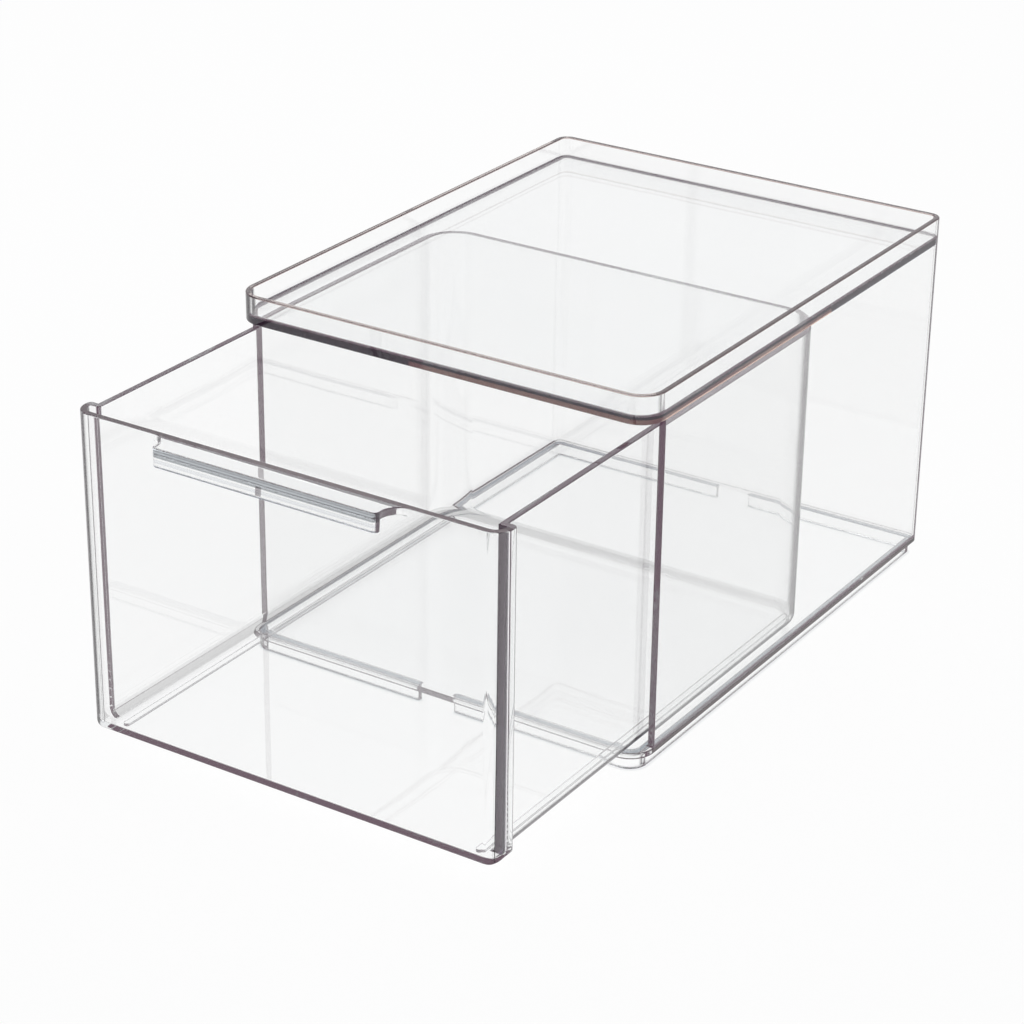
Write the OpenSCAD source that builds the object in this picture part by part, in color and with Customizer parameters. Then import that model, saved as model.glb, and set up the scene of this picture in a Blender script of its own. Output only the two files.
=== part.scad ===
// Stackable drawer box: a clear case with a rimmed top for stacking, and a clear drawer
// that slides in it. X runs along the front, +Y to the back, +Z up. The origin is on the
// surface that the box stands on, at the middle of the box as it stands open.

/* [Case] */
// Width of the case and of the drawer's front
case_w = 210; // [165:1:300]
// Depth of the case, front to back
case_d = 268; // [200:1:360]
// Height of the case, from the underside of the foot to the top of the rim
case_h = 174; // [100:0.5:220]
// Thickness of the side walls and the back wall
wall_t = 3.2; // [2:0.1:4]
// Radius of the front corners in plan; the side walls end where it begins
front_r = 12; // [9:0.5:16]
// Radius of the back corners in plan
back_r = 6; // [5:0.5:12]

/* [Stacking tray] */
// Height of the rim above the top plate
rim_h = 9.3; // [7.5:0.1:14]
// Thickness of the rim
rim_t = 2.5; // [1.8:0.1:3.5]
// Thickness of the top plate
plate_t = 3.7; // [2:0.1:4.5]

/* [Base] */
// Thickness of the base plate
base_t = 2.8; // [2:0.1:4]
// Height of the foot under the base plate, which nests in the rim of the case below
foot_h = 6.5; // [3:0.1:7.4]
// Thickness of the foot
foot_t = 3; // [2:0.1:5]
// Play between the foot and the rim that it nests in
stack_play = 0.6; // [0.3:0.1:1.5]
// Width of the break in the foot at the middle of the front and of the back
foot_gap = 18; // [8:1:40]

/* [Drawer] */
// Thickness of the drawer's walls
drawer_t = 3.1; // [2:0.1:3.4]
// Thickness of the drawer's floor
floor_t = 2; // [1.6:0.1:3.4]
// Play between each side of the drawer and the case wall
side_play = 1.2; // [0.6:0.1:2.5]
// Play between the top of the drawer and the top plate
top_play = 4; // [1:0.1:8]
// Play behind the drawer when it is shut
back_play = 1.3; // [1:0.1:4]
// Radius of the front corners of the drawer in plan
drawer_front_r = 8; // [4:0.5:9]
// Radius of the back corners of the drawer in plan
drawer_back_r = 18; // [5:0.5:30]
// Radius of the drawer's bottom edges along the sides and the back
bottom_r = 6; // [4:0.5:9]
// Play between the returns of the drawer's front and the front edges of the side walls
return_play = 0.6; // [0.3:0.1:1.5]
// How far the drawer stands open
open_by = 108; // [0:1:180]

/* [Runners] */
// Width of the two runners under the drawer
runner_w = 3; // [2:0.1:6]
// Height of the runners
runner_h = 1.4; // [0.8:0.1:3]
// Distance from the rounded bottom edge to the side of each runner
runner_in = 2.5; // [0:0.5:30]
// Distance from the drawer's front face to the front end of the runners
runner_front = 8; // [6:0.5:30]
// Distance from the rounded bottom edge to the back end of the runners
runner_back = 0.5; // [0:0.5:30]
// Running gap between the runners and the base plate
runner_play = 0.3; // [0.2:0.05:0.6]

/* [Handle lip] */
// Length of the lip along the front
lip_w = 110; // [60:1:130]
// How far the lip stands out from the front
lip_out = 11; // [8:0.5:18]
// Thickness of the lip's flat top
lip_t = 3.4; // [2:0.1:4]
// Thickness of the lip's turned-down edge
lip_edge_t = 2.4; // [1.6:0.1:3]
// Height of the lip's turned-down edge, from the top of the drawer
lip_drop = 8.6; // [7:0.1:14]
// Radius of the hollow corners where the lip leaves the front
lip_fillet_r = 7.5; // [3:0.5:7.5]
// Radius of the lip's outer corners
lip_corner_r = 2.5; // [1:0.1:5]

/* [Hidden] */
$fn = 64;
plastic = [0.90, 0.92, 0.93, 0.4];
// Overlap of two shapes that become one solid
join = 0.01;
// How far a trimming shape stands past a side that it doesn't trim
past = 0.02;
// Smallest radius that a corner keeps when an outline is set in
least_r = 0.5;

// Case levels and depths
y_front = (open_by + lip_out - case_d) / 2;
y_back = y_front + case_d;
y_mid = y_front + case_d / 2;
z_base = foot_h + base_t;
z_rim = case_h - rim_h;
z_under = z_rim - plate_t;
foot_in = rim_t + stack_play;

// Drawer, whose front face is flush with the case when it is shut
tub_w = case_w - 2 * (wall_t + side_play);
return_d = front_r - return_play;
drawer_d = case_d - wall_t - back_play;
yd_front = y_front - open_by;
yd_back = yd_front + drawer_d;
zd_runner = z_base + runner_play;
zd_base = zd_runner + runner_h;
zd_top = z_under - top_play;
runner_x = tub_w / 2 - bottom_r - runner_in - runner_w / 2;

// Rectangle of width w from y0 to y1, with its two front corners rounded
module front_rounded(w, y0, y1, r) {
    for (s = [-1, 1]) translate([s * (w / 2 - r), y0 + r]) circle(r);
    translate([-w / 2 + r, y0]) square([w - 2 * r, r + join]);
    translate([-w / 2, y0 + r]) square([w, y1 - y0 - r]);
}

// The same with its two back corners rounded
module back_rounded(w, y0, y1, r) {
    mirror([0, 1]) front_rounded(w, -y1, -y0, r);
}

// Outline of the case in plan, set in by the distance i
module case_plan(i) {
    front_rounded(case_w - 2 * i, y_front + i, y_mid, max(front_r - i, least_r));
    back_rounded(case_w - 2 * i, y_mid - join, y_back - i, max(back_r - i, least_r));
}

// Band of thickness t just inside the case's outline set in by i
module case_band(i, t) {
    difference() {
        case_plan(i);
        case_plan(i + t);
    }
}

// U-shaped wall: the band of the case's outline without its front corners
module case_walls() {
    difference() {
        case_band(0, wall_t);
        translate([-case_w, y_front - 1]) square([2 * case_w, front_r + 1]);
    }
}

// Foot: a band that nests in the rim below, broken at the middle of the front and back,
// where its ends are round
module foot() {
    end_x = (foot_gap + foot_t) / 2;
    end_in = foot_in + foot_t / 2;
    difference() {
        case_band(foot_in, foot_t);
        translate([-end_x, y_front - 1]) square([2 * end_x, case_d + 2]);
    }
    for (s = [-1, 1]) {
        translate([s * end_x, y_front + end_in]) circle(foot_t / 2);
        translate([s * end_x, y_back - end_in]) circle(foot_t / 2);
    }
}

module case() {
    color(plastic) {
        linear_extrude(foot_h + join) foot();
        translate([0, 0, foot_h]) linear_extrude(base_t) case_plan(0);
        translate([0, 0, z_base - join]) linear_extrude(z_under - z_base + 2 * join) case_walls();
        translate([0, 0, z_under]) linear_extrude(plate_t) case_plan(0);
        translate([0, 0, z_rim - join]) linear_extrude(rim_h + join) case_band(0, rim_t);
    }
}

// Block of width w from y0 to y1, standing on z0, with its two long bottom edges rounded
module trough_block(w, y0, y1, z0, r) {
    translate([0, y1, z0]) rotate([90, 0, 0]) linear_extrude(y1 - y0)
        front_rounded(w + 2 * past, 0, zd_top - z0 + 1, r);
}

// Block across the drawer with its bottom edge at the back rounded
module back_block(y1, z0, r) {
    y0 = yd_front - 1;
    translate([-case_w, past, z0 - past]) rotate([90, 0, 90]) linear_extrude(2 * case_w) {
        translate([y1 - r, r]) circle(r);
        translate([y0, 0]) square([y1 - r - y0, r + join]);
        translate([y0, r]) square([y1 - y0, zd_top - z0 - r + 1]);
    }
}

// The drawer's shape set in by i and standing on z0: the wide front with its returns,
// and the narrower tub, which begins halfway into the front
module drawer_shape(i, z0) {
    r = bottom_r - i;
    front_w = case_w - 2 * i;
    back_w = tub_w - 2 * i;
    y0 = yd_front + i;
    y1 = yd_front + return_d - i;
    y2 = yd_back - i;
    intersection() {
        translate([0, 0, z0]) linear_extrude(zd_top - z0)
            front_rounded(front_w, y0, y0 + case_d, drawer_front_r - i);
        trough_block(front_w, y0 - 1, y1, z0, r);
    }
    intersection() {
        translate([0, 0, z0]) linear_extrude(zd_top - z0)
            back_rounded(back_w, (y0 + y1) / 2, y2, drawer_back_r - i);
        trough_block(back_w, y0, y2 + 1, z0, r);
        back_block(y2, z0, r);
    }
}

// The lip seen from above, from the drawer's front face outwards
module lip_plan() {
    translate([0, yd_front]) {
        front_rounded(lip_w, -lip_out, join, lip_corner_r);
        for (s = [-1, 1]) difference() {
            translate([s * (lip_w / 2 + lip_fillet_r / 2), -lip_fillet_r / 2])
                square([lip_fillet_r + join, lip_fillet_r + join], center = true);
            translate([s * (lip_w / 2 + lip_fillet_r), -lip_fillet_r])
                circle(lip_fillet_r + past);
        }
    }
}

// Handle lip: a shelf level with the drawer's top, and its turned-down front edge
module lip() {
    translate([0, 0, zd_top - lip_t]) linear_extrude(lip_t) lip_plan();
    translate([0, 0, zd_top - lip_drop]) linear_extrude(lip_drop) intersection() {
        lip_plan();
        translate([-lip_w, yd_front - lip_out - 1]) square([2 * lip_w, lip_edge_t + 1]);
    }
}

// Runner: a flat bar with round ends along the underside of the drawer, which reaches up
// into the floor so that its back end also meets the rounded corner
module runner(x) {
    y0 = yd_front + runner_front + runner_w / 2;
    y1 = yd_back - bottom_r - runner_back - runner_w / 2;
    translate([x, 0, zd_runner]) linear_extrude(runner_h + floor_t / 2) {
        translate([0, y0]) circle(runner_w / 2);
        translate([0, y1]) circle(runner_w / 2);
        translate([-runner_w / 2, y0]) square([runner_w, y1 - y0]);
    }
}

module drawer() {
    color(plastic) {
        difference() {
            drawer_shape(0, zd_base);
            translate([0, 0, join]) drawer_shape(drawer_t, zd_base + floor_t);
        }
        lip();
        for (s = [-1, 1]) runner(s * runner_x);
    }
}

case();
drawer();
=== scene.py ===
from math import cos, hypot, pi, radians, sin

import bmesh
import bpy
from mathutils import Matrix, Vector


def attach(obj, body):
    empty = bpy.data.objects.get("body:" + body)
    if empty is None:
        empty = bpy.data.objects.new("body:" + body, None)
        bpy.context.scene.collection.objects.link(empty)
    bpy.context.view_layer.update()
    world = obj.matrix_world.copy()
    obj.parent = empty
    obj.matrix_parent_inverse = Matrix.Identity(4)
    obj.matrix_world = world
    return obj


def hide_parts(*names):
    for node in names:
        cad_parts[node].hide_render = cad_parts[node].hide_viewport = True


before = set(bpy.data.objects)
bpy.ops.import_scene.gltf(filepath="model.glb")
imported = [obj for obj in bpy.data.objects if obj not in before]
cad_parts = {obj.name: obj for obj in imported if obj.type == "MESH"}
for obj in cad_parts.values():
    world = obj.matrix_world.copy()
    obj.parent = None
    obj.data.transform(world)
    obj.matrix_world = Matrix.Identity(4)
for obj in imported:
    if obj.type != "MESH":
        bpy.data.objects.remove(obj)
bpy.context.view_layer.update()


# ---- Case ---------------------------------------------------------------------------
# The outer box, moulded in one shot of clear, stiff plastic. Two flat plates joined by side
# and back walls, with a rim round the top plate and a foot round the underside that nests
# in the rim of the box below.
mm = 0.001
case_w, case_d = 210 * mm, 268 * mm
case_front = -74.5 * mm
case_back, case_mid = case_front + case_d, case_front + case_d / 2
case_front_r, case_back_r = 12 * mm, 6 * mm
wall_t, rim_t = 3.2 * mm, 2.5 * mm
foot_in, foot_t, foot_gap = 3.1 * mm, 3 * mm, 18 * mm
foot_h, base_top = 6.5 * mm, 9.3 * mm
plate_under, plate_top, rim_top = 161 * mm, 164.7 * mm, 174 * mm
case_edge_r = 0.55 * mm
# How far a face or an edge may lie from the place where it is looked for
slack = 0.1 * mm
# What keeps two curves, or two faces, from quite meeting
hair = 0.01 * mm


def start_block(name, low, high):
    """Adds a block between two corners and opens it in edit mode."""
    bpy.ops.object.select_all(action="DESELECT")
    low, high = Vector(low), Vector(high)
    bpy.ops.mesh.primitive_cube_add(size=1, location=(low + high) / 2)
    block = bpy.context.object
    block.name = block.data.name = name
    block.scale = high - low
    bpy.ops.object.transform_apply(location=True, rotation=True, scale=True)
    bpy.ops.object.mode_set(mode="EDIT")
    return block


def pick(kind, test):
    """Selects the edges or faces of the mesh in edit mode that pass a test of their centre
    and their direction, which for a face is its normal."""
    bpy.ops.mesh.select_mode(type=kind)
    bpy.ops.mesh.select_all(action="DESELECT")
    shape = bmesh.from_edit_mesh(bpy.context.object.data)
    for part in shape.edges if kind == "EDGE" else shape.faces:
        if kind == "EDGE":
            a, b = (v.co for v in part.verts)
            chosen = test((a + b) / 2, (b - a).normalized())
        else:
            chosen = test(part.calc_center_median(), part.normal)
        if chosen:
            part.select_set(True)
    bmesh.update_edit_mesh(bpy.context.object.data)


def upright(at, way):
    """Test for an edge that runs up and down."""
    return abs(way.z) > 0.9


def looks_up(at, way):
    """Test for a flat face that looks up."""
    return way.z > 0.9


def looks_down(at, way):
    """Test for a flat face that looks down."""
    return way.z < -0.9


def round_edges(test, radius, steps):
    """Rounds the edges that pass a test."""
    pick("EDGE", test)
    bpy.ops.mesh.bevel(offset=radius, offset_type="OFFSET", segments=steps, profile=0.5,
                       affect="EDGES", clamp_overlap=False)


def extrude_up(distance):
    """Extrudes what is selected upwards, or downwards where the distance is negative."""
    bpy.ops.mesh.extrude_region_move(TRANSFORM_OT_translate={"value": (0, 0, distance)})


def depth_in_case(at):
    """How far a point lies inside the outline of the case in plan."""
    r = case_front_r if at.y < case_mid else case_back_r
    x = abs(at.x) - (case_w / 2 - r)
    y = abs(at.y - case_mid) - (case_d / 2 - r)
    return r - hypot(max(x, 0), max(y, 0)) - min(max(x, y), 0)


def in_foot(at):
    """Whether a point lies over the middle of the foot's thickness."""
    return abs(depth_in_case(at) - foot_in - foot_t / 2) < 0.5 * mm


def in_wall(at):
    """Whether a point lies over the middle of a wall, which the front corners don't have."""
    return abs(depth_in_case(at) - wall_t / 2) < 0.3 * mm and at.y > case_front + case_front_r


def case_plate(name, low_z, high_z):
    """A plate with the outline of the case."""
    plate = start_block(name, (-case_w / 2, case_front, low_z), (case_w / 2, case_back, high_z))
    round_edges(lambda at, way: upright(at, way) and at.y < case_mid, case_front_r, steps=18)
    round_edges(lambda at, way: upright(at, way) and at.y > case_mid, case_back_r, steps=12)
    return plate


base = case_plate("case_moulding", foot_h, base_top)
pick("FACE", looks_down)
bpy.ops.mesh.inset(thickness=foot_in, use_even_offset=True)
bpy.ops.mesh.inset(thickness=foot_t, use_even_offset=True, use_select_inset=True)
# The back corners are rounded less than the foot is thick, so it is sharp inside them
foot_inner = foot_in + foot_t
for side in (-1, 1):
    pick("EDGE", lambda at, way: at.z < foot_h + slack and depth_in_case(at) > foot_inner - 2 * slack
         and at.x * side > case_w / 2 - foot_inner - 4 * slack
         and at.y > case_back - foot_inner - 4 * slack)
    bpy.ops.mesh.merge(type="CENTER")
# The foot is broken at the middle of the front and of the back, where its ends are round
for side in (-1, 1):
    pick("FACE", lambda at, way: looks_down(at, way) and in_foot(at))
    bpy.ops.mesh.bisect(plane_co=(side * foot_gap / 2, 0, 0), plane_no=(1, 0, 0))
pick("FACE", lambda at, way: looks_down(at, way) and in_foot(at) and abs(at.x) > foot_gap / 4)
extrude_up(-foot_h)
round_edges(lambda at, way: upright(at, way) and at.z < foot_h
            and abs(abs(at.x) - foot_gap / 2) < slack, foot_t / 2 - hair, steps=6)
pick("FACE", looks_up)
bpy.ops.mesh.inset(thickness=wall_t, use_even_offset=True, use_select_inset=True)
pick("FACE", lambda at, way: looks_up(at, way) and in_wall(at))
extrude_up(plate_under - base_top)
bpy.ops.mesh.delete(type="FACE")
bpy.ops.object.mode_set(mode="OBJECT")

tray = case_plate("tray", plate_under, plate_top)
pick("FACE", looks_up)
bpy.ops.mesh.inset(thickness=rim_t, use_even_offset=True, use_select_inset=True)
extrude_up(rim_top - plate_top)
pick("FACE", looks_down)
bpy.ops.mesh.inset(thickness=wall_t, use_even_offset=True, use_select_inset=True)
pick("FACE", lambda at, way: looks_down(at, way) and in_wall(at))
bpy.ops.mesh.delete(type="FACE")
bpy.ops.object.mode_set(mode="OBJECT")

# The walls' open tops and the open places under the tray have the same outline, and close
# on each other when the two meshes are merged
bpy.ops.object.select_all(action="DESELECT")
tray.select_set(True)
base.select_set(True)
bpy.context.view_layer.objects.active = base
bpy.ops.object.join()
bpy.ops.object.mode_set(mode="EDIT")
bpy.ops.mesh.select_all(action="SELECT")
bpy.ops.mesh.remove_doubles(threshold=0.02 * mm)
bpy.ops.object.mode_set(mode="OBJECT")


def finish_moulding(piece, edge_r, sharp=lambda at: False):
    """Rounds the edges that are left, but for those that stay sharp, and shades the flats
    flat and the curves smooth."""
    corner_angle = radians(40)
    bpy.ops.object.select_all(action="DESELECT")
    piece.select_set(True)
    bpy.context.view_layer.objects.active = piece
    bpy.ops.object.mode_set(mode="EDIT")
    bpy.ops.mesh.select_mode(type="EDGE")
    bpy.ops.mesh.select_all(action="DESELECT")
    shape = bmesh.from_edit_mesh(piece.data)
    for edge in shape.edges:
        a, b = (v.co for v in edge.verts)
        if edge.calc_face_angle(0) > corner_angle and not sharp((a + b) / 2):
            edge.select_set(True)
    bmesh.update_edit_mesh(piece.data)
    bpy.ops.transform.edge_bevelweight(value=1)
    bpy.ops.object.mode_set(mode="OBJECT")
    edges = piece.modifiers.new("edges", "BEVEL")
    edges.width = edge_r
    edges.segments = 3
    edges.limit_method = "WEIGHT"
    edges.use_clamp_overlap = False
    bpy.ops.object.modifier_apply(modifier="edges")
    bpy.ops.object.mode_set(mode="EDIT")
    bpy.ops.mesh.select_all(action="SELECT")
    bpy.ops.mesh.remove_doubles(threshold=hair / 10)
    bpy.ops.object.mode_set(mode="OBJECT")
    # The rounding pushes a few points out past the sides, and they are set back
    for point in piece.data.vertices:
        point.co.x = max(-case_w / 2, min(case_w / 2, point.co.x))
    bpy.ops.object.shade_smooth_by_angle(angle=radians(50))
    normals = piece.modifiers.new("normals", "WEIGHTED_NORMAL")
    normals.keep_sharp = True
    normals.weight = 90
    bpy.ops.object.modifier_apply(modifier="normals")


finish_moulding(base, case_edge_r)

# Where the drawer's runners slide: how far from the middle, half how wide, and how high
track_x, track_half, track_top = 90.6 * mm, 1.4 * mm, 10 * mm
scratches_per_metre = (3000, 25, 1)
scratch_from, scratch_roughness = 0.56, 0.12

skin_group = bpy.data.node_groups.new("moulded_skin", "ShaderNodeTree")
for label, start in (("Flow Size", 0.07), ("Gloss", 0.0), ("Track", track_x)):
    skin_group.interface.new_socket(
        label, in_out="INPUT", socket_type="NodeSocketFloat").default_value = start
for label in ("Height", "Roughness"):
    skin_group.interface.new_socket(label, in_out="OUTPUT", socket_type="NodeSocketFloat")
nodes, links = skin_group.nodes, skin_group.links
given, put = nodes.new("NodeGroupInput"), nodes.new("NodeGroupOutput")
place = nodes.new("ShaderNodeTexCoord").outputs["Object"]


def math_node(tree, how, *values):
    """A Math node whose inputs are numbers or the outputs of other nodes."""
    node = tree.nodes.new("ShaderNodeMath")
    node.operation = how
    for i, value in enumerate(values):
        if isinstance(value, (int, float)):
            node.inputs[i].default_value = value
        else:
            tree.links.new(value, node.inputs[i])
    return node.outputs[0]


def where_all(tree, mask, *others):
    """1 where all the masks are 1, and 0 where one of them is 0."""
    for other in others:
        mask = math_node(tree, "MULTIPLY", mask, other)
    return mask


# The faint waves that the flow of the melt leaves in the walls
waves = nodes.new("ShaderNodeTexNoise")
links.new(place, waves.inputs["Vector"])
links.new(math_node(skin_group, "DIVIDE", 1.0, given.outputs["Flow Size"]), waves.inputs["Scale"])
waves.inputs["Detail"].default_value = 1.0
links.new(waves.outputs["Fac"], put.inputs["Height"])
# Fine scuffs where the runners slide on the case
axes = nodes.new("ShaderNodeSeparateXYZ")
links.new(place, axes.inputs[0])
across, along, height = axes.outputs
off_track = math_node(skin_group, "ABSOLUTE", math_node(
    skin_group, "SUBTRACT", math_node(skin_group, "ABSOLUTE", across), given.outputs["Track"]))
stretch = nodes.new("ShaderNodeMapping")
stretch.inputs["Scale"].default_value = scratches_per_metre
links.new(place, stretch.inputs["Vector"])
scratches = nodes.new("ShaderNodeTexNoise")
scratches.inputs["Scale"].default_value = 1.0
links.new(stretch.outputs["Vector"], scratches.inputs["Vector"])
scuffed = where_all(skin_group, math_node(skin_group, "LESS_THAN", off_track, track_half),
                    math_node(skin_group, "LESS_THAN", height, track_top),
                    math_node(skin_group, "GREATER_THAN", scratches.outputs["Fac"], scratch_from))
links.new(math_node(skin_group, "MULTIPLY_ADD", scuffed, scratch_roughness, given.outputs["Gloss"]),
          put.inputs["Roughness"])


def between(tree, value, low, high):
    """1 where a value lies between two numbers, and 0 elsewhere."""
    return where_all(tree, math_node(tree, "GREATER_THAN", value, low),
                     math_node(tree, "LESS_THAN", value, high))


def ramp(tree, value, low, high):
    """A value that goes from 0 at one number to 1 at another."""
    node = tree.nodes.new("ShaderNodeMapRange")
    node.inputs["From Min"].default_value, node.inputs["From Max"].default_value = low, high
    tree.links.new(value, node.inputs["Value"])
    return node.outputs["Result"]


def mix_colours(tree, factor, under, over):
    """A Mix node between two colours, each a plain colour or the output of another node."""
    node = tree.nodes.new("ShaderNodeMix")
    node.data_type = "RGBA"
    tree.links.new(factor, node.inputs["Factor"])
    for socket, colour in zip([entry for entry in node.inputs if entry.type == "RGBA"], (under, over)):
        if isinstance(colour, tuple):
            socket.default_value = colour
        else:
            tree.links.new(colour, socket)
    return [entry for entry in node.outputs if entry.type == "RGBA"][0]


def mix_shaders(tree, factor, under, over):
    """A Mix Shader node between two shaders."""
    node = tree.nodes.new("ShaderNodeMixShader")
    for socket, source in zip(node.inputs, (factor, under, over)):
        tree.links.new(source, socket)
    return node.outputs["Shader"]


def clear_plastic(name, flow_size):
    """Clear plastic with a purple-brown dye that shows where one looks along a wall, a faint purple
    painted glow in its body, and painted shade on its bends. Shadow rays pass through it, so that its shadow
    is pale."""
    # The dark and the grey of the bends are painted shade
    clear, bend_painted_shade, bend_painted_grey = (1.0, 1.0, 1.0, 1.0), (0.02, 0.016, 0.02, 1.0), 0.3
    dye_colour, dye_density = (0.0, 0.12, 0.08, 1.0), 9.0
    # Colour and strength of the painted glow in the body
    painted_glow_colour, painted_glow_strength = (1.0, 0.5, 0.75, 1.0), 1.0
    shadow_colour = (0.985, 0.985, 0.985, 1.0)

    material = bpy.data.materials.new(name)
    material.use_nodes = True
    tree = material.node_tree
    nodes, links = tree.nodes, tree.links
    nodes.clear()
    out = nodes.new("ShaderNodeOutputMaterial")
    skin = nodes.new("ShaderNodeGroup")
    skin.node_tree = skin_group
    skin.inputs["Flow Size"].default_value = flow_size
    bump = nodes.new("ShaderNodeBump")
    bump.inputs["Strength"].default_value = 0.2
    bump.inputs["Distance"].default_value = 0.4 * mm
    links.new(skin.outputs["Height"], bump.inputs["Height"])
    plastic = nodes.new("ShaderNodeBsdfPrincipled")
    plastic.name = "plastic"
    plastic.inputs["Transmission Weight"].default_value = 1
    plastic.inputs["IOR"].default_value = 1.57
    links.new(skin.outputs["Roughness"], plastic.inputs["Roughness"])
    links.new(bump.outputs["Normal"], plastic.inputs["Normal"])

    # The surface bends where it faces none of the six sides squarely
    surface = nodes.new("ShaderNodeNewGeometry")
    turned, parts = nodes.new("ShaderNodeVectorMath"), nodes.new("ShaderNodeSeparateXYZ")
    turned.operation = "ABSOLUTE"
    links.new(surface.outputs["Normal"], turned.inputs[0])
    links.new(turned.outputs[0], parts.inputs[0])
    squarely = math_node(tree, "MAXIMUM", parts.outputs["X"], math_node(
        tree, "MAXIMUM", parts.outputs["Y"], parts.outputs["Z"]))
    bend = ramp(tree, squarely, 0.999, 0.985)
    # Painted shade: where it bends and light enters or leaves it at a low angle, its colour is painted dark
    low_angle = nodes.new("ShaderNodeLayerWeight").outputs["Facing"]
    grazing = nodes.new("ShaderNodeMix")
    links.new(surface.outputs["Backfacing"], grazing.inputs["Factor"])
    links.new(ramp(tree, low_angle, 0.45, 0.62), grazing.inputs["A"])
    links.new(ramp(tree, low_angle, 0.13, 0.18), grazing.inputs["B"])
    # Painted shade: bends that aren't upright, and the rounded edges, are painted a little grey from
    # everywhere
    leaning = math_node(tree, "MULTIPLY", bend_painted_grey, math_node(
        tree, "GREATER_THAN", parts.outputs["Z"], 0.1))
    dark = math_node(tree, "MULTIPLY", bend, math_node(
        tree, "MAXIMUM", grazing.outputs["Result"], leaning))
    links.new(mix_colours(tree, dark, clear, bend_painted_shade), plastic.inputs["Base Color"])

    dye = nodes.new("ShaderNodeVolumeAbsorption")
    dye.inputs["Color"].default_value = dye_colour
    dye.inputs["Density"].default_value = dye_density
    # Painted glow: the body gives off a faint purple light of its own, in place of light scattered in along
    # the walls
    painted_glow = nodes.new("ShaderNodeEmission")
    painted_glow.inputs["Color"].default_value = painted_glow_colour
    painted_glow.inputs["Strength"].default_value = painted_glow_strength
    body = nodes.new("ShaderNodeAddShader")
    links.new(dye.outputs["Volume"], body.inputs[0])
    links.new(painted_glow.outputs["Emission"], body.inputs[1])
    links.new(body.outputs["Shader"], out.inputs["Volume"])
    through = nodes.new("ShaderNodeBsdfTransparent")
    through.inputs["Color"].default_value = shadow_colour
    ray = nodes.new("ShaderNodeLightPath")
    links.new(mix_shaders(tree, ray.outputs["Is Shadow Ray"], plastic.outputs["BSDF"],
                          through.outputs["BSDF"]), out.inputs["Surface"])
    return material


def place_and_facing(tree):
    """The place on the piece and the way its surface faces, each as X, Y and Z."""
    both = []
    for source in (tree.nodes.new("ShaderNodeTexCoord").outputs["Object"],
                   tree.nodes.new("ShaderNodeNewGeometry").outputs["Normal"]):
        split = tree.nodes.new("ShaderNodeSeparateXYZ")
        tree.links.new(source, split.inputs[0])
        both.append(tuple(split.outputs))
    return both


case_plastic = clear_plastic("case_clear_plastic", flow_size=70 * mm)
base.data.materials.append(case_plastic)
# Painted shade and reflection on the outer edges of the two plates: dark along the base plate's
# sides, blue-black to red-brown round the top plate, and a brown line along the rim's top
base_edge_painted_shade = (0.008, 0.004, 0.005, 1.0)
top_edge_painted_blue, top_edge_painted_red = (0.04, 0.04, 0.06, 1.0), (1.0, 0.5, 0.35, 1.0)
red_top, red_left, red_back = plate_under + 2.3 * mm, -13 * mm, case_front + 156 * mm
rim_painted_brown = (0.35, 0.25, 0.23, 1.0)
# Well outside the box on any side
far = 1.0

tree = case_plastic.node_tree
colour = tree.nodes["plastic"].inputs["Base Color"]
(across, along, height), (_, _, upwards) = place_and_facing(tree)
at_side = math_node(tree, "GREATER_THAN", math_node(tree, "ABSOLUTE", across), case_w / 2 - slack)
base_edge = where_all(tree, at_side, between(tree, height, foot_h + 3 * slack, base_top - 3 * slack))
top_edge = where_all(tree, between(tree, height, plate_under + 3 * slack, plate_top - slack),
                     between(tree, upwards, -0.5, 0.5), between(tree, along, -far, case_back - 7 * mm))
painted_red_brown = where_all(tree, between(tree, height, plate_under, red_top),
                      between(tree, across, red_left, far), between(tree, along, -far, red_back))
# Painted shade: a thin brown line along the top of the rim
rim_line = math_node(tree, "GREATER_THAN", height, rim_top - 0.6 * mm)
toned = mix_colours(tree, base_edge, colour.links[0].from_socket, base_edge_painted_shade)
toned = mix_colours(tree, top_edge, toned, mix_colours(tree, painted_red_brown, top_edge_painted_blue, top_edge_painted_red))
tree.links.new(mix_colours(tree, rim_line, toned, rim_painted_brown), colour)
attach(base, "case")
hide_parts("case")


# ---- Drawer -------------------------------------------------------------------------
# The inner box, moulded in one shot of the same clear plastic. Its front is as wide as the
# case and has short returns; the tub behind it slides between the case's walls.
drawer_t, floor_t = 3.1 * mm, 2 * mm
open_by = 108 * mm
drawer_front, drawer_back = case_front - open_by, case_front + 155.5 * mm
drawer_low, drawer_top = 11 * mm, 157 * mm
front_half, tub_half, return_d = 105 * mm, 100.6 * mm, 11.4 * mm
drawer_front_r, drawer_back_r, bottom_r, return_r = 8 * mm, 18 * mm, 6 * mm, 2.2 * mm
drawer_edge_r = 0.5 * mm


def combine(target, other, how):
    """Joins one piece with another, or cuts or trims it by the other."""
    bpy.ops.object.select_all(action="DESELECT")
    target.select_set(True)
    bpy.context.view_layer.objects.active = target
    both = target.modifiers.new("both", "BOOLEAN")
    both.operation = how
    both.solver = "EXACT"
    both.object = other
    bpy.ops.object.modifier_apply(modifier="both")
    bpy.data.objects.remove(other)


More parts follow.
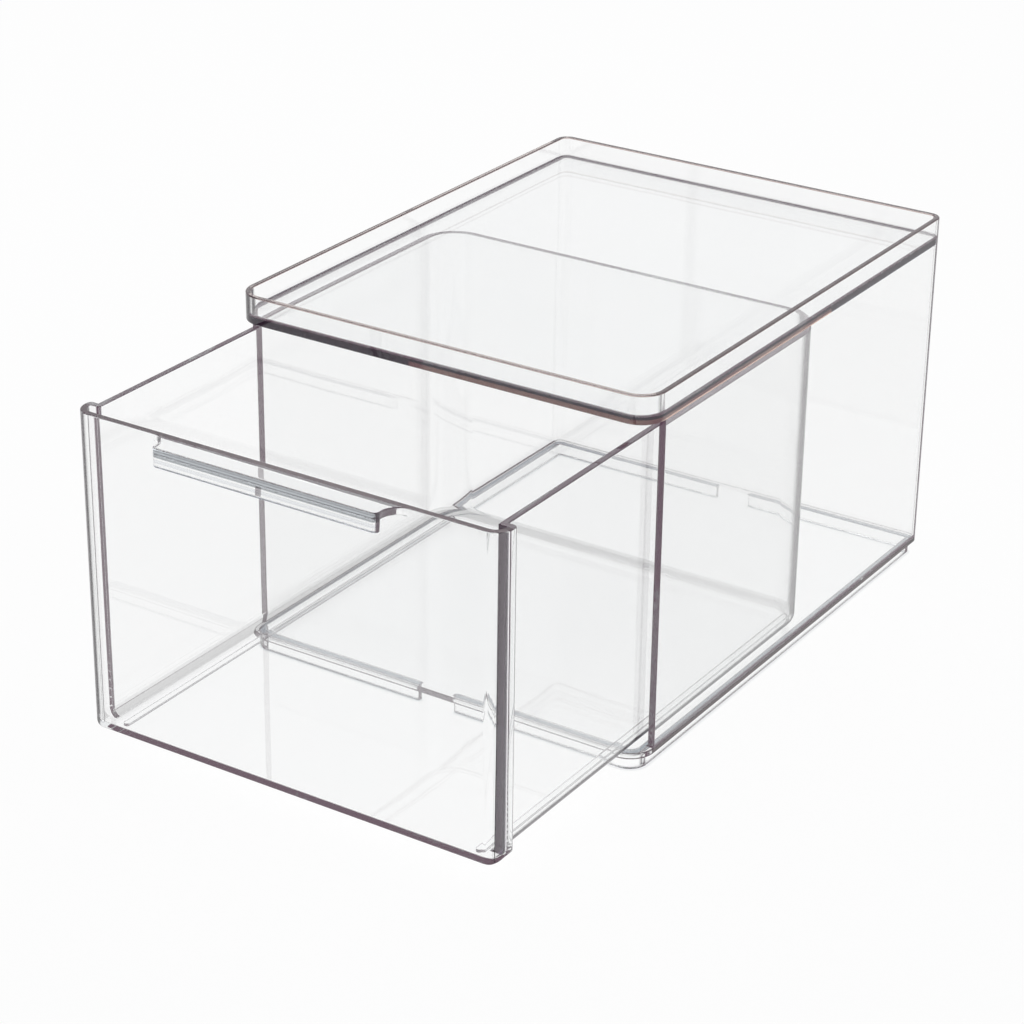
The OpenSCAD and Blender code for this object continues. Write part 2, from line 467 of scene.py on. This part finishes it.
def drawer_block(name, inset, low, top):
    """The shape of the drawer set in by a distance: its front and its tub joined."""
    front_x, tub_x = front_half - inset, tub_half - inset
    face, back, rear = drawer_front + inset, drawer_front + return_d - inset, drawer_back - inset
    corner, bottom, past = drawer_front_r - inset, bottom_r - inset, 5 * mm

    front = start_block(name, (-front_x, face, low), (front_x, back, top))
    round_edges(lambda at, way: upright(at, way) and at.y < back - corner / 2, corner, steps=14)
    round_edges(lambda at, way: upright(at, way) and at.y > back - hair, return_r - 0.3 * inset, steps=6)
    bpy.ops.object.mode_set(mode="OBJECT")

    trim = start_block("trim", (-front_x - hair, face - past, low), (front_x + hair, back + past, top + past))
    round_edges(lambda at, way: abs(way.y) > 0.9 and at.z < low + mm, bottom, steps=12)
    bpy.ops.object.mode_set(mode="OBJECT")
    combine(front, trim, "INTERSECT")

    tub = start_block("tub", (-tub_x, (face + back) / 2, low), (tub_x, rear, top))
    round_edges(lambda at, way: upright(at, way) and at.y > rear - mm, drawer_back_r - inset, steps=24)
    round_edges(lambda at, way: abs(way.z) < 0.1 and at.z < low + mm and at.y > back, bottom, steps=12)
    bpy.ops.object.mode_set(mode="OBJECT")
    combine(front, tub, "UNION")
    return front


drawer = drawer_block("drawer_moulding", 0, drawer_low, drawer_top)
hollow = drawer_block("hollow", drawer_t, drawer_low + floor_t, drawer_top + 10 * mm)
combine(drawer, hollow, "DIFFERENCE")

# Handle lip: a flat top level with the drawer's rim, with a turned-down edge for the
# fingertips, moulded with the front.
lip_half, lip_out, lip_t, lip_edge_t, lip_drop = 55 * mm, 11 * mm, 3.4 * mm, 2.4 * mm, 8.6 * mm
lip_fillet_r, lip_corner_r = 7.5 * mm, 2.5 * mm
lip_front = drawer_front - lip_out
root_half = lip_half + lip_fillet_r + slack
lip = start_block("lip", (-root_half, drawer_front, drawer_top - lip_t),
                  (root_half, drawer_front + mm, drawer_top))
for side in (-1, 1):
    bpy.ops.mesh.select_all(action="SELECT")
    bpy.ops.mesh.bisect(plane_co=(side * lip_half, 0, 0), plane_no=(1, 0, 0))
pick("FACE", lambda at, way: way.y < -0.9 and abs(at.x) < lip_half)
bpy.ops.mesh.extrude_region_move(TRANSFORM_OT_translate={"value": (0, -lip_out, 0)})
round_edges(lambda at, way: upright(at, way) and at.y < lip_front + mm, lip_corner_r, steps=6)
round_edges(lambda at, way: upright(at, way) and abs(abs(at.x) - lip_half) < mm
            and abs(at.y - drawer_front) < slack, lip_fillet_r, steps=12)
bpy.ops.mesh.select_all(action="SELECT")
bpy.ops.mesh.bisect(plane_co=(0, lip_front + lip_edge_t, 0), plane_no=(0, 1, 0))
pick("FACE", lambda at, way: looks_down(at, way) and at.y < lip_front + lip_edge_t)
extrude_up(lip_t - lip_drop)
bpy.ops.object.mode_set(mode="OBJECT")
combine(drawer, lip, "UNION")
bpy.ops.object.mode_set(mode="EDIT")
bpy.ops.mesh.select_all(action="SELECT")
bpy.ops.mesh.remove_doubles(threshold=hair)
bpy.ops.mesh.dissolve_limited(angle_limit=radians(0.2))
bpy.ops.object.mode_set(mode="OBJECT")

# Runners: two flat bars with round ends under the floor, moulded with it, on which the
# drawer slides.
runner_half, runner_low = 1.5 * mm, 9.6 * mm
runner_front, runner_back = drawer_front + 8 * mm, drawer_back - 6.5 * mm
for side in (-1, 1):
    x = side * track_x
    runner = start_block("runner", (x - runner_half, runner_front, runner_low),
                         (x + runner_half, runner_back, drawer_low + floor_t / 2))
    round_edges(upright, runner_half - hair, steps=6)
    bpy.ops.object.mode_set(mode="OBJECT")
    combine(drawer, runner, "UNION")


def by_return_or_runner(at):
    """Where the rounded bottom meets a return of the front, or a runner meets the floor."""
    by_return = (abs(at.x) > 85 * mm and at.z < drawer_low + bottom_r + slack
                 and abs(at.y - drawer_front - 9.8 * mm) < 1.8 * mm)
    by_runner = abs(abs(at.x) - track_x) < 2.5 * mm and abs(at.z - drawer_low - mm) < 1.1 * mm
    return by_return or by_runner


finish_moulding(drawer, drawer_edge_r, by_return_or_runner)


def colour_ramp(tree, value, stops):
    """A colour that runs through stops, each a value from 0 to 1 and a colour."""
    node = tree.nodes.new("ShaderNodeValToRGB")
    marks = node.color_ramp.elements
    marks[0].position, marks[0].color = stops[0][0], (*stops[0][1], 1)
    marks[1].position, marks[1].color = stops[-1][0], (*stops[-1][1], 1)
    for at, colour in stops[1:-1]:
        marks.new(at).color = (*colour, 1)
    tree.links.new(value, node.inputs["Fac"])
    return node.outputs["Color"]


# Painted shade and reflection on the turned-down edge of the lip, from its foot to its top: a dark foot,
# clear plastic with a pale band in it, and a grey upper half, painted as the thick corner's shade
lip_painted_tones = ((0.0, (0.45, 0.5, 0.62)), (0.03, (0.35, 0.4, 0.52)),
             (0.1, (1, 1, 1)), (0.22, (1, 1, 1)),
             (0.28, (0.7, 0.72, 0.75)), (0.42, (0.72, 0.74, 0.77)),
             (0.46, (1, 1, 1)), (0.5, (1, 1, 1)),
             (0.54, (0.32, 0.35, 0.38)), (0.93, (0.26, 0.28, 0.31)), (0.965, (0.1, 0.11, 0.12)),
             (0.98, (0.9, 0.9, 0.9)), (1.0, (0.9, 0.9, 0.9)))
# Pitch, depth and middle of the painted lines
line_pitch, line_depth, line_mid = 1.25 * mm, 0.4, 0.75
# Painted shade for the front's top edge and for the right-hand return's back wall
front_rim_painted_shade, return_painted_shade = (0.16, 0.08, 0.1, 1.0), (0.09, 0.05, 0.11, 1.0)

drawer_plastic = clear_plastic("drawer_clear_plastic", flow_size=60 * mm)
drawer.data.materials.append(drawer_plastic)
tree = drawer_plastic.node_tree
colour = tree.nodes["plastic"].inputs["Base Color"]
(across, along, height), (_, forwards, upwards) = place_and_facing(tree)
up_lip = math_node(tree, "DIVIDE", math_node(
    tree, "SUBTRACT", height, drawer_top - lip_drop), lip_drop)
# Painted reflection: fine dark lines that run along the upper half
lines = math_node(tree, "MULTIPLY_ADD", math_node(
    tree, "SINE", math_node(tree, "MULTIPLY", height, 2 * pi / line_pitch)), line_depth, line_mid)
lines = math_node(tree, "MAXIMUM", lines, math_node(tree, "LESS_THAN", up_lip, 0.5))
striped = tree.nodes.new("ShaderNodeVectorMath")
striped.operation = "SCALE"
tree.links.new(colour_ramp(tree, up_lip, lip_painted_tones), striped.inputs[0])
tree.links.new(lines, striped.inputs["Scale"])
on_lip = where_all(tree, math_node(tree, "LESS_THAN", along, lip_front + lip_edge_t),
                   math_node(tree, "LESS_THAN", forwards, -0.05))
# Painted shade: the top edge of the front, into which one looks down, is painted darker than the other top
# edges
front_rim = where_all(tree, math_node(tree, "GREATER_THAN", upwards, 0.9),
                      math_node(tree, "GREATER_THAN", height, drawer_top - slack),
                      between(tree, along, drawer_front - 2 * slack, drawer_front + drawer_front_r))
# Painted shade: the back wall of the right-hand return, which leads light away into the tub's side,
# is painted as a dark upright
return_wall = where_all(tree, math_node(tree, "LESS_THAN", forwards, -0.9),
                        math_node(tree, "GREATER_THAN", across, 0.0),
                        between(tree, along, drawer_front + return_d - drawer_t - 3 * slack,
                                drawer_front + return_d))
toned = mix_colours(tree, on_lip, colour.links[0].from_socket, striped.outputs[0])
toned = mix_colours(tree, front_rim, toned, front_rim_painted_shade)
tree.links.new(mix_colours(tree, return_wall, toned, return_painted_shade), colour)
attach(drawer, "drawer")
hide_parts("drawer")


# ---- Floor and light ----------------------------------------------------------------
# A plain white table top that runs out of sight, under a large soft studio light. The room
# is white low down, pale behind the box, and dark in front of it and overhead.
# The blue-grey is a painted contact shadow where the foot touches the floor
table_white, painted_contact_grey, full_white = (0.9, 0.9, 0.9, 1.0), (0.33, 0.37, 0.41, 1.0), (1.0, 1.0, 1.0, 1.0)
touch_reach, kept_by_touch, table_glow = 1.5 * mm, 0.8, 0.95
bpy.ops.object.select_all(action="DESELECT")
bpy.ops.mesh.primitive_plane_add(size=40, location=(0, 0, -0.05 * mm))
floor = bpy.context.object
floor.name = "floor"
bpy.ops.object.transform_apply(location=True, rotation=True, scale=True)
paint = bpy.data.materials.new("floor_paint")
paint.use_nodes = True
tree = paint.node_tree
nodes, links = tree.nodes, tree.links
nodes.clear()
out = nodes.new("ShaderNodeOutputMaterial")
matt = nodes.new("ShaderNodeBsdfDiffuse")
matt.inputs["Color"].default_value = table_white
glow = nodes.new("ShaderNodeEmission")
touch = nodes.new("ShaderNodeAmbientOcclusion")
touch.samples = 8
touch.inputs["Distance"].default_value = touch_reach
ray = nodes.new("ShaderNodeLightPath")
# Painted contact shadow: beside the foot the floor keeps most of its light, and under it the touch turns its
# glow blue-grey
free = math_node(tree, "MAXIMUM", touch.outputs["AO"], math_node(
    tree, "MULTIPLY", ray.outputs["Is Camera Ray"], kept_by_touch))
links.new(mix_colours(tree, free, painted_contact_grey, full_white), glow.inputs["Color"])
seen = math_node(tree, "MAXIMUM", ray.outputs["Is Glossy Ray"], math_node(
    tree, "MAXIMUM", ray.outputs["Is Camera Ray"], ray.outputs["Is Transmission Ray"]))
links.new(mix_shaders(tree, math_node(tree, "MULTIPLY", seen, table_glow), matt.outputs["BSDF"],
                      glow.outputs["Emission"]), out.inputs["Surface"])
floor.data.materials.append(paint)

world = bpy.data.worlds.new("studio")
bpy.context.scene.world = world
world.use_nodes = True
tree = world.node_tree
nodes, links = tree.nodes, tree.links
nodes.clear()
out = nodes.new("ShaderNodeOutputWorld")
split = nodes.new("ShaderNodeSeparateXYZ")
links.new(nodes.new("ShaderNodeTexCoord").outputs["Generated"], split.inputs[0])
# Colours by height, from the table's level, 0, to overhead, 1
white, pale, dark_behind, dark_before = (1, 1, 1), (0.95, 0.96, 0.97), (0.1, 0.11, 0.13), (0.08, 0.09, 0.11)
behind = colour_ramp(tree, split.outputs["Z"], (
    (0.0, white), (0.12, white), (0.3, pale), (0.62, pale), (0.72, dark_behind), (1.0, dark_behind)))
before = colour_ramp(tree, split.outputs["Z"], (
    (0.0, white), (0.03, white), (0.12, dark_before), (1.0, dark_before)))
room = nodes.new("ShaderNodeBackground")
links.new(mix_colours(tree, ramp(tree, split.outputs["Y"], -0.35, 0.05), before, behind),
          room.inputs["Color"])
backdrop = nodes.new("ShaderNodeBackground")
backdrop.inputs["Color"].default_value = full_white
ray = nodes.new("ShaderNodeLightPath")
links.new(mix_shaders(tree, ray.outputs["Is Camera Ray"], room.outputs["Background"],
                      backdrop.outputs["Background"]), out.inputs["Surface"])

lamp_data = bpy.data.lights.new("softbox", "AREA")
lamp_data.shape = "RECTANGLE"
lamp_data.size, lamp_data.size_y = 1.6, 1.2
lamp_data.energy = 20
lamp = bpy.data.objects.new("softbox", lamp_data)
lamp.location = (-0.6, 0.5, 1.8)
lamp.rotation_euler = (-lamp.location).to_track_quat("-Z", "Y").to_euler()
bpy.context.scene.collection.objects.link(lamp)


# ---- Camera -------------------------------------------------------------------------
# A long lens in front of the box, to its right and above it.
azimuth, elevation, roll = radians(32.769), radians(25.2912), radians(0.7309)
back = Vector((sin(azimuth) * cos(elevation), -cos(azimuth) * cos(elevation), sin(elevation)))
right = (-back).cross(Vector((0, 0, 1))).normalized()
up = right.cross(-back)
right, up = cos(roll) * right + sin(roll) * up, cos(roll) * up - sin(roll) * right
camera_data = bpy.data.cameras.new("camera")
camera_data.lens, camera_data.sensor_width = 103.643, 36
camera_data.clip_start, camera_data.clip_end = 0.05, 100
camera = bpy.data.objects.new("camera", camera_data)
camera.location = (0.64365, -1.01301, 0.63482)
camera.rotation_euler = Matrix((right, up, back)).transposed().to_euler()
bpy.context.scene.collection.objects.link(camera)
bpy.context.scene.camera = camera

# Light passes through many layers of plastic before it reaches the eye
scene = bpy.context.scene
scene.view_settings.view_transform = "Standard"
layers = 64
scene.cycles.max_bounces = scene.cycles.transmission_bounces = layers
scene.cycles.glossy_bounces = scene.cycles.transparent_max_bounces = layers
scene.cycles.diffuse_bounces = 2
